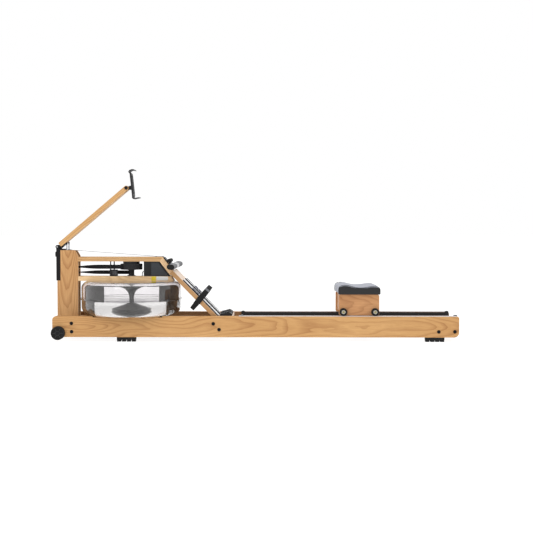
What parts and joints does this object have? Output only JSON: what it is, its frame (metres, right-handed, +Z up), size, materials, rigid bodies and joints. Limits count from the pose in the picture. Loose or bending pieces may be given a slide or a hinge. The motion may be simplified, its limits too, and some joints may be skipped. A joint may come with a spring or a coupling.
{
  "type": "rowing machine",
  "caption": "Wooden water-resistance rowing machine with a round clear tank, sliding seat, sloping footboard, strap drive and a hinged tablet arm",
  "frame": {"origin": "on the floor under the middle of the machine", "axes": "+X from the tank end to the rear end along the rails, +Y to the right side of a rower who faces the tank, +Z up"},
  "size_m": [2.11, 0.532, 0.894],
  "materials": {
    "oak": "satin oiled hardwood",
    "pale_wood": "satin pale plywood",
    "strip": "satin",
    "black_plastic": "moulded, fine texture",
    "black_metal": "black powder coat",
    "black_rubber": "matte",
    "grip_foam": "matte ribbed",
    "steel": "brushed",
    "brass": "dull",
    "clear_shell": "clear polycarbonate",
    "rotor_plastic": "smoky grey",
    "pulley_grey": "moulded",
    "webbing": "woven nylon",
    "pale_webbing": "woven polyester",
    "cord_black": "matte",
    "silver_plate": "satin silver",
    "pad_vinyl": "soft vinyl"
  },
  "bodies": {
    "frame": {"left_rail": "oak", "right_rail": "oak", "running_strips": "strip", "seat_tracks": "black_plastic", "track_stops": "black_plastic", "front_posts": "oak", "top_rails": "oak", "mid_rails": "oak", "slope_boards": "oak", "cross_boards": "oak", "footboard": "pale_wood", "footboard_cleat": "oak", "heel_shelf": "pale_wood", "frame_bolts": "black_metal", "rubber_feet": "black_rubber", "axle_pins": "steel", "tank_lower_shell": "clear_shell", "tank_upper_shell": "clear_shell", "tank_seal_ring": "black_rubber", "tank_fill_plug": "black_plastic", "shaft_bearings": "black_plastic", "clutch_housing": "black_plastic", "strap_guide": "black_plastic", "drive_strap": "webbing", "recoil_strap": "webbing", "bungee_cord": "cord_black", "pull_strap": "pale_webbing", "window_cover": "black_plastic", "console": "black_plastic", "sensor_lead": "cord_black", "handle_rest": "black_rubber", "foot_plates": "silver_plate", "foot_straps": "webbing", "strap_buckles": "steel", "arm_bracket": "black_metal", "arm_stops": "steel"},
    "drum": {"strap_drum": "black_plastic"},
    "pull_pulley": {"front_pulley": "pulley_grey"},
    "return_pulley": {"recoil_pulley": "pulley_grey"},
    "impeller": {"rotor": "rotor_plastic", "rotor_shaft": "steel"},
    "left_wheel": {"left_transport_wheel": "black_rubber"},
    "right_wheel": {"right_transport_wheel": "black_rubber"},
    "handle": {"handle_bar": "silver_plate", "handle_grips": "grip_foam"},
    "left_heel": {"left_heel_cup": "black_plastic"},
    "right_heel": {"right_heel_cup": "black_plastic"},
    "arm": {"tablet_arm": "oak", "arm_hinge": "black_metal", "holder_bolt": "black_metal"},
    "holder_head": {"holder_block": "black_plastic"},
    "holder": {"holder_plate": "black_plastic"},
    "jaw": {"holder_jaw": "black_plastic"},
    "seat": {"seat_box": "oak", "seat_pad": "pad_vinyl", "seat_axles": "brass"},
    "seat_wheel_fl": {"front_left_seat_wheel": "black_rubber"},
    "seat_wheel_fr": {"front_right_seat_wheel": "black_rubber"},
    "seat_wheel_rl": {"rear_left_seat_wheel": "black_rubber"},
    "seat_wheel_rr": {"rear_right_seat_wheel": "black_rubber"}
  },
  "joints": [
    {"name": "seat_slide", "type": "slide", "parent": "frame", "child": "seat", "axis": [1, 0, 0], "range_m": [-0.48, 0.37]},
    {"name": "seat_roll_fl", "type": "hinge", "parent": "seat", "child": "seat_wheel_fl", "pos_m": [0.4595, 0, 0.153], "axis": [0, 1, 0], "continuous": true},
    {"name": "seat_roll_fr", "type": "hinge", "parent": "seat", "child": "seat_wheel_fr", "pos_m": [0.4595, 0, 0.153], "axis": [0, 1, 0], "continuous": true},
    {"name": "seat_roll_rl", "type": "hinge", "parent": "seat", "child": "seat_wheel_rl", "pos_m": [0.6235, 0, 0.153], "axis": [0, 1, 0], "continuous": true},
    {"name": "seat_roll_rr", "type": "hinge", "parent": "seat", "child": "seat_wheel_rr", "pos_m": [0.6235, 0, 0.153], "axis": [0, 1, 0], "continuous": true},
    {"name": "handle_pull", "type": "slide", "parent": "frame", "child": "handle", "axis": [0.9945, 0, 0.1045], "range_m": [0, 1.1], "stiffness_N_per_m": 20, "springref_m": -0.6, "deforming": ["pull_strap"]},
    {"name": "drum_spin", "type": "hinge", "parent": "frame", "child": "drum", "pos_m": [-0.654, 0, 0.38], "axis": [0, 0, 1], "continuous": true},
    {"name": "pull_pulley_spin", "type": "hinge", "parent": "frame", "child": "pull_pulley", "pos_m": [-0.981, 0, 0.4245], "axis": [0, 1, 0], "continuous": true},
    {"name": "return_pulley_spin", "type": "hinge", "parent": "frame", "child": "return_pulley", "pos_m": [-0.965, 0, 0.326], "axis": [0, 1, 0], "continuous": true},
    {"name": "rotor_spin", "type": "hinge", "parent": "frame", "child": "impeller", "pos_m": [-0.654, 0, 0.2], "axis": [0, 0, 1], "continuous": true},
    {"name": "left_wheel_roll", "type": "hinge", "parent": "frame", "child": "left_wheel", "pos_m": [-1.01, -0.167, 0.045], "axis": [0, 1, 0], "continuous": true},
    {"name": "right_wheel_roll", "type": "hinge", "parent": "frame", "child": "right_wheel", "pos_m": [-1.01, 0.167, 0.045], "axis": [0, 1, 0], "continuous": true},
    {"name": "arm_tilt", "type": "hinge", "parent": "frame", "child": "arm", "pos_m": [-1.04, 0, 0.4855], "axis": [0, -1, 0], "range_deg": [0, 50]},
    {"name": "holder_tilt", "type": "hinge", "parent": "arm", "child": "holder_head", "pos_m": [-0.67598, 0, 0.7953], "axis": [0, 1, 0], "range_deg": [-30, 30]},
    {"name": "holder_turn", "type": "hinge", "parent": "holder_head", "child": "holder", "pos_m": [-0.67598, 0, 0.7953], "axis": [0.9945, 0, 0.1045], "range_deg": [0, 90]},
    {"name": "jaw_slide", "type": "slide", "parent": "holder", "child": "jaw", "axis": [-0.1045, 0, 0.9945], "range_m": [0, 0.06], "stiffness_N_per_m": 120, "springref_m": -0.04},
    {"name": "left_heel_slide", "type": "slide", "parent": "frame", "child": "left_heel", "axis": [-0.6997, 0, 0.7145], "range_m": [0, 0.06]},
    {"name": "right_heel_slide", "type": "slide", "parent": "frame", "child": "right_heel", "axis": [-0.6997, 0, 0.7145], "range_m": [0, 0.06]}
  ],
  "couplings": [
    {"joint": "seat_roll_fl", "follows": "seat_slide", "rad_per_m": 50.761},
    {"joint": "seat_roll_fr", "follows": "seat_slide", "rad_per_m": 50.761},
    {"joint": "seat_roll_rl", "follows": "seat_slide", "rad_per_m": 50.761},
    {"joint": "seat_roll_rr", "follows": "seat_slide", "rad_per_m": 50.761},
    {"joint": "drum_spin", "follows": "handle_pull", "rad_per_m": -25},
    {"joint": "pull_pulley_spin", "follows": "handle_pull", "rad_per_m": 22.3},
    {"joint": "return_pulley_spin", "follows": "handle_pull", "rad_per_m": 16.5}
  ]
}
